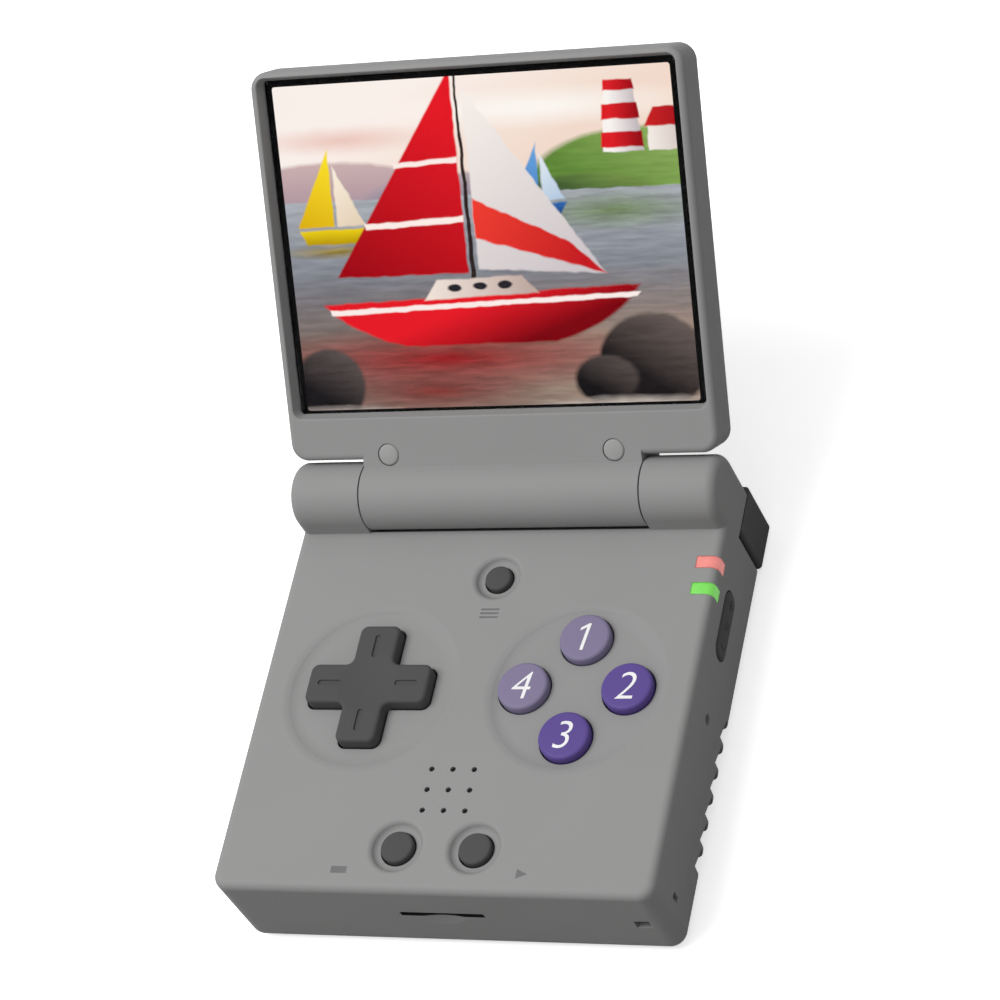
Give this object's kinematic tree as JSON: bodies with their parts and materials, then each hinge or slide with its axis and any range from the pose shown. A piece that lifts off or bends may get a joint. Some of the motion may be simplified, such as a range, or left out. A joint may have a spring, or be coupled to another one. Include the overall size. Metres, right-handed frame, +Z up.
{
  "type": "clamshell handheld game console",
  "caption": "Clamshell handheld game console: a flat base with pad, buttons and side controls, and a screen lid on a friction hinge.",
  "frame": {"origin": "middle of the flat underside of the base", "axes": "+Z up out of the deck, +Y from the player towards the hinge, +X to the player's right"},
  "size_m": [0.0622, 0.1023, 0.0595],
  "materials": {
    "case_plastic": "fine satin texture",
    "dark_keys": "satin",
    "purple_keys": "semi-gloss",
    "lilac_keys": "semi-gloss",
    "lens_glass": "clear polished",
    "screen_black": "printed black",
    "display_metal": "satin",
    "circuit_board": "solder resist",
    "battery_foil": "satin foil",
    "black_plastic": "moulded",
    "steel": "satin",
    "light_green": "translucent",
    "light_red": "translucent",
    "led_resin": "clear resin",
    "silicone": "matte",
    "switch_plastic": "moulded",
    "ribbon_film": "polyimide film",
    "bumper_rubber": "matte"
  },
  "bodies": {
    "base": {"bottom_case": "case_plastic", "top_case": "case_plastic", "main_board": "circuit_board", "battery": "battery_foil", "speaker": "black_plastic", "card_socket": "steel", "usb_socket": "steel", "headphone_socket": "black_plastic", "power_light_pipe": "light_green", "charge_light_pipe": "light_red", "status_leds": "led_resin", "pad_membrane": "silicone", "face_membrane": "silicone", "menu_membrane": "silicone", "option_membrane": "silicone", "side_switches": "switch_plastic", "shoulder_switches": "switch_plastic", "trigger_switches": "switch_plastic", "shoulder_pins": "steel", "left_bushing": "steel", "right_bushing": "steel", "base_ribbon": "ribbon_film", "base_screws": "steel"},
    "lid": {"lid_frame": "case_plastic", "lid_back": "case_plastic", "cover_lens": "lens_glass", "lens_mask": "screen_black", "display_panel": "display_metal", "display_ribbon": "ribbon_film", "hinge_sleeve": "steel", "hinge_cartridge": "steel", "lid_pads": "bumper_rubber", "lid_screws": "steel", "lid_magnet": "steel"},
    "pad_gimbal": {"pad_pivot": "steel"},
    "pad": {"direction_pad": "dark_keys"},
    "right_button": {"face_button_right": "purple_keys"},
    "bottom_button": {"face_button_bottom": "purple_keys"},
    "top_button": {"face_button_top": "lilac_keys"},
    "left_button": {"face_button_left": "lilac_keys"},
    "menu": {"menu_button": "dark_keys"},
    "select": {"select_button": "dark_keys"},
    "start": {"start_button": "dark_keys"},
    "volume": {"volume_rocker": "dark_keys"},
    "power": {"power_button": "dark_keys"},
    "shoulder_left": {"left_shoulder": "dark_keys"},
    "shoulder_right": {"right_shoulder": "dark_keys"},
    "trigger_left": {"left_trigger": "dark_keys"},
    "trigger_right": {"right_trigger": "dark_keys"},
    "card": {"memory_card": "black_plastic"}
  },
  "joints": [
    {"name": "lid_hinge", "type": "hinge", "parent": "base", "child": "lid", "pos_m": [0, 0.02685, 0.0174], "axis": [-1, 0, 0], "range_deg": [-135.1, 29.9]},
    {"name": "pad_tilt_up_down", "type": "hinge", "parent": "base", "child": "pad_gimbal", "pos_m": [-0.0146, -0.00173, 0.01205], "axis": [1, 0, 0], "range_deg": [-3, 3], "stiffness_Nm_per_rad": 0.15},
    {"name": "pad_tilt_left_right", "type": "hinge", "parent": "pad_gimbal", "child": "pad", "pos_m": [-0.0146, -0.00173, 0.01205], "axis": [0, 1, 0], "range_deg": [-3, 3], "stiffness_Nm_per_rad": 0.15},
    {"name": "right_button_press", "type": "slide", "parent": "base", "child": "right_button", "axis": [0, 0, -1], "range_m": [0, 0.0008], "stiffness_N_per_m": 500},
    {"name": "bottom_button_press", "type": "slide", "parent": "base", "child": "bottom_button", "axis": [0, 0, -1], "range_m": [0, 0.0008], "stiffness_N_per_m": 500},
    {"name": "top_button_press", "type": "slide", "parent": "base", "child": "top_button", "axis": [0, 0, -1], "range_m": [0, 0.0008], "stiffness_N_per_m": 500},
    {"name": "left_button_press", "type": "slide", "parent": "base", "child": "left_button", "axis": [0, 0, -1], "range_m": [0, 0.0008], "stiffness_N_per_m": 500},
    {"name": "menu_press", "type": "slide", "parent": "base", "child": "menu", "axis": [0, 0, -1], "range_m": [0, 0.0005], "stiffness_N_per_m": 600},
    {"name": "select_press", "type": "slide", "parent": "base", "child": "select", "axis": [0, 0, -1], "range_m": [0, 0.0005], "stiffness_N_per_m": 600},
    {"name": "start_press", "type": "slide", "parent": "base", "child": "start", "axis": [0, 0, -1], "range_m": [0, 0.0005], "stiffness_N_per_m": 600},
    {"name": "volume_rock", "type": "hinge", "parent": "base", "child": "volume", "pos_m": [0.0286, 0.01115, 0.0089], "axis": [0, 0, 1], "range_deg": [-3, 3], "stiffness_Nm_per_rad": 0.1},
    {"name": "power_press", "type": "slide", "parent": "base", "child": "power", "axis": [1, 0, 0], "range_m": [0, 0.0004], "stiffness_N_per_m": 600},
    {"name": "shoulder_left_press", "type": "hinge", "parent": "base", "child": "shoulder_left", "pos_m": [-0.0176, 0.0289, 0.006], "axis": [0, 0, 1], "range_deg": [0, 3.5], "stiffness_Nm_per_rad": 0.2},
    {"name": "shoulder_right_press", "type": "hinge", "parent": "base", "child": "shoulder_right", "pos_m": [0.0176, 0.0289, 0.006], "axis": [0, 0, -1], "range_deg": [0, 3.5], "stiffness_Nm_per_rad": 0.2},
    {"name": "trigger_left_press", "type": "slide", "parent": "base", "child": "trigger_left", "axis": [0, -1, 0], "range_m": [0, 0.0007], "stiffness_N_per_m": 500},
    {"name": "trigger_right_press", "type": "slide", "parent": "base", "child": "trigger_right", "axis": [0, -1, 0], "range_m": [0, 0.0007], "stiffness_N_per_m": 500},
    {"name": "card_slide", "type": "slide", "parent": "base", "child": "card", "axis": [0, -1, 0], "range_m": [0, 0.012]}
  ]
}
